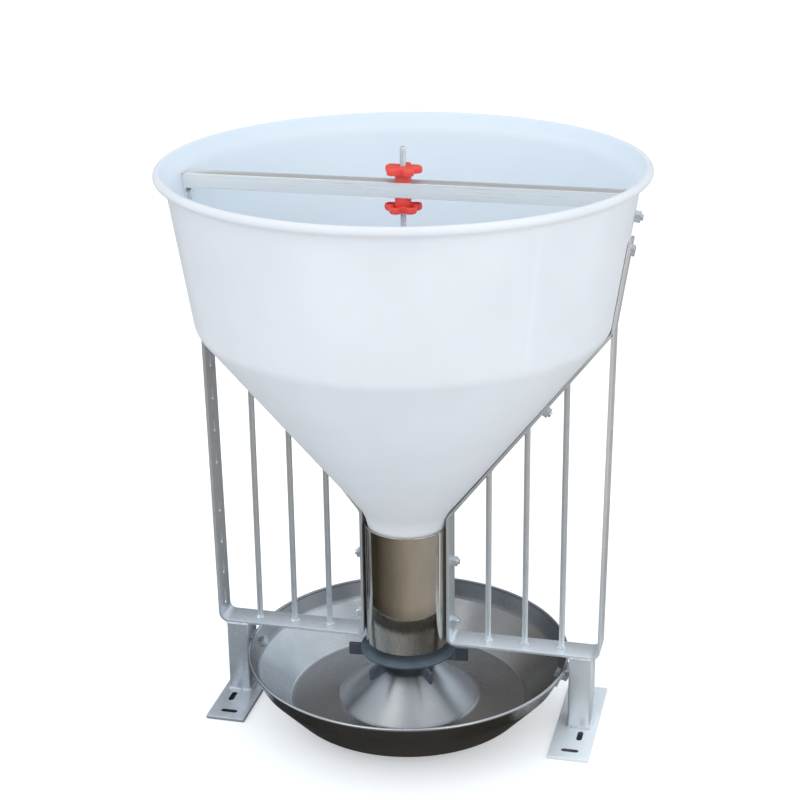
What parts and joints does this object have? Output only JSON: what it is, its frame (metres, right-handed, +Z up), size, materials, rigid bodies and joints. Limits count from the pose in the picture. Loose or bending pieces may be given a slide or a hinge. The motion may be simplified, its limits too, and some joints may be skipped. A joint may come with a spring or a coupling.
{
  "type": "pig feeder",
  "caption": "Free-standing round dry feeder: open plastic hopper over a steel feed tube and pan, slotted side panels on foot plates, and a screw rod that sets a paddle wheel.",
  "frame": {"origin": "on the floor, under the hopper's axis", "axes": "+Z up along the hopper's axis; the two side panels lie along X; the front is -Y"},
  "size_m": [0.8, 0.8, 1.019],
  "materials": {
    "polyethylene": "milky white moulded polyethylene, slightly translucent",
    "polished_steel": "polished stainless tube",
    "pan_steel": "dark satin pressed steel with a bright rim edge",
    "stainless": "pale brushed stainless",
    "galvanised": "dull galvanised steel",
    "zinc_plated": "bright zinc plating",
    "red_plastic": "moulded red plastic",
    "brass": "turned brass",
    "wheel_iron": "blue-grey painted casting"
  },
  "bodies": {
    "stand": {"hopper": "polyethylene", "feed_tube": "polished_steel", "pan": "pan_steel", "crossbar": "stainless", "left_side_bar": "galvanised", "right_side_bar": "galvanised", "left_panel_rods": "galvanised", "right_panel_rods": "galvanised", "left_post": "galvanised", "right_post": "galvanised", "left_foot_plate": "galvanised", "right_foot_plate": "galvanised", "left_pan_bracket": "galvanised", "right_pan_bracket": "galvanised", "crossbar_bolts": "zinc_plated", "crossbar_washers": "zinc_plated", "crossbar_nuts": "zinc_plated", "panel_top_bolts": "zinc_plated", "panel_top_washers": "zinc_plated", "panel_top_nuts": "zinc_plated", "cone_bolts": "zinc_plated", "cone_washers": "zinc_plated", "cone_nuts": "zinc_plated", "tube_bolts": "zinc_plated", "tube_washers": "zinc_plated", "tube_nuts": "zinc_plated", "pan_bolts": "zinc_plated", "pan_washers": "zinc_plated", "pan_nuts": "zinc_plated"},
    "upper_knob": {"upper_knob": "red_plastic", "upper_knob_insert": "brass"},
    "lower_knob": {"lower_knob": "red_plastic", "lower_knob_insert": "brass"},
    "rod": {"threaded_rod": "zinc_plated", "rod_end_washer": "zinc_plated", "rod_end_nut": "zinc_plated"},
    "wheel": {"feed_wheel": "wheel_iron"}
  },
  "joints": [
    {"name": "rod_height", "type": "slide", "parent": "stand", "child": "rod", "axis": [0, 0, 1], "range_m": [-0.012, 0.0135]},
    {"name": "upper_knob_turn", "type": "hinge", "parent": "stand", "child": "upper_knob", "pos_m": [0, 0, 0.963], "axis": [0, 0, 1], "range_deg": [-3240, 2880]},
    {"name": "lower_knob_turn", "type": "hinge", "parent": "stand", "child": "lower_knob", "pos_m": [0, 0, 0.938], "axis": [0, 0, 1], "range_deg": [-3240, 2880]},
    {"name": "wheel_spin", "type": "hinge", "parent": "rod", "child": "wheel", "pos_m": [0, 0, 0.122], "axis": [0, 0, 1], "continuous": true}
  ],
  "couplings": [
    {"joint": "upper_knob_turn", "follows": "rod_height", "rad_per_m": -4188.8},
    {"joint": "lower_knob_turn", "follows": "rod_height", "rad_per_m": -4188.8}
  ]
}
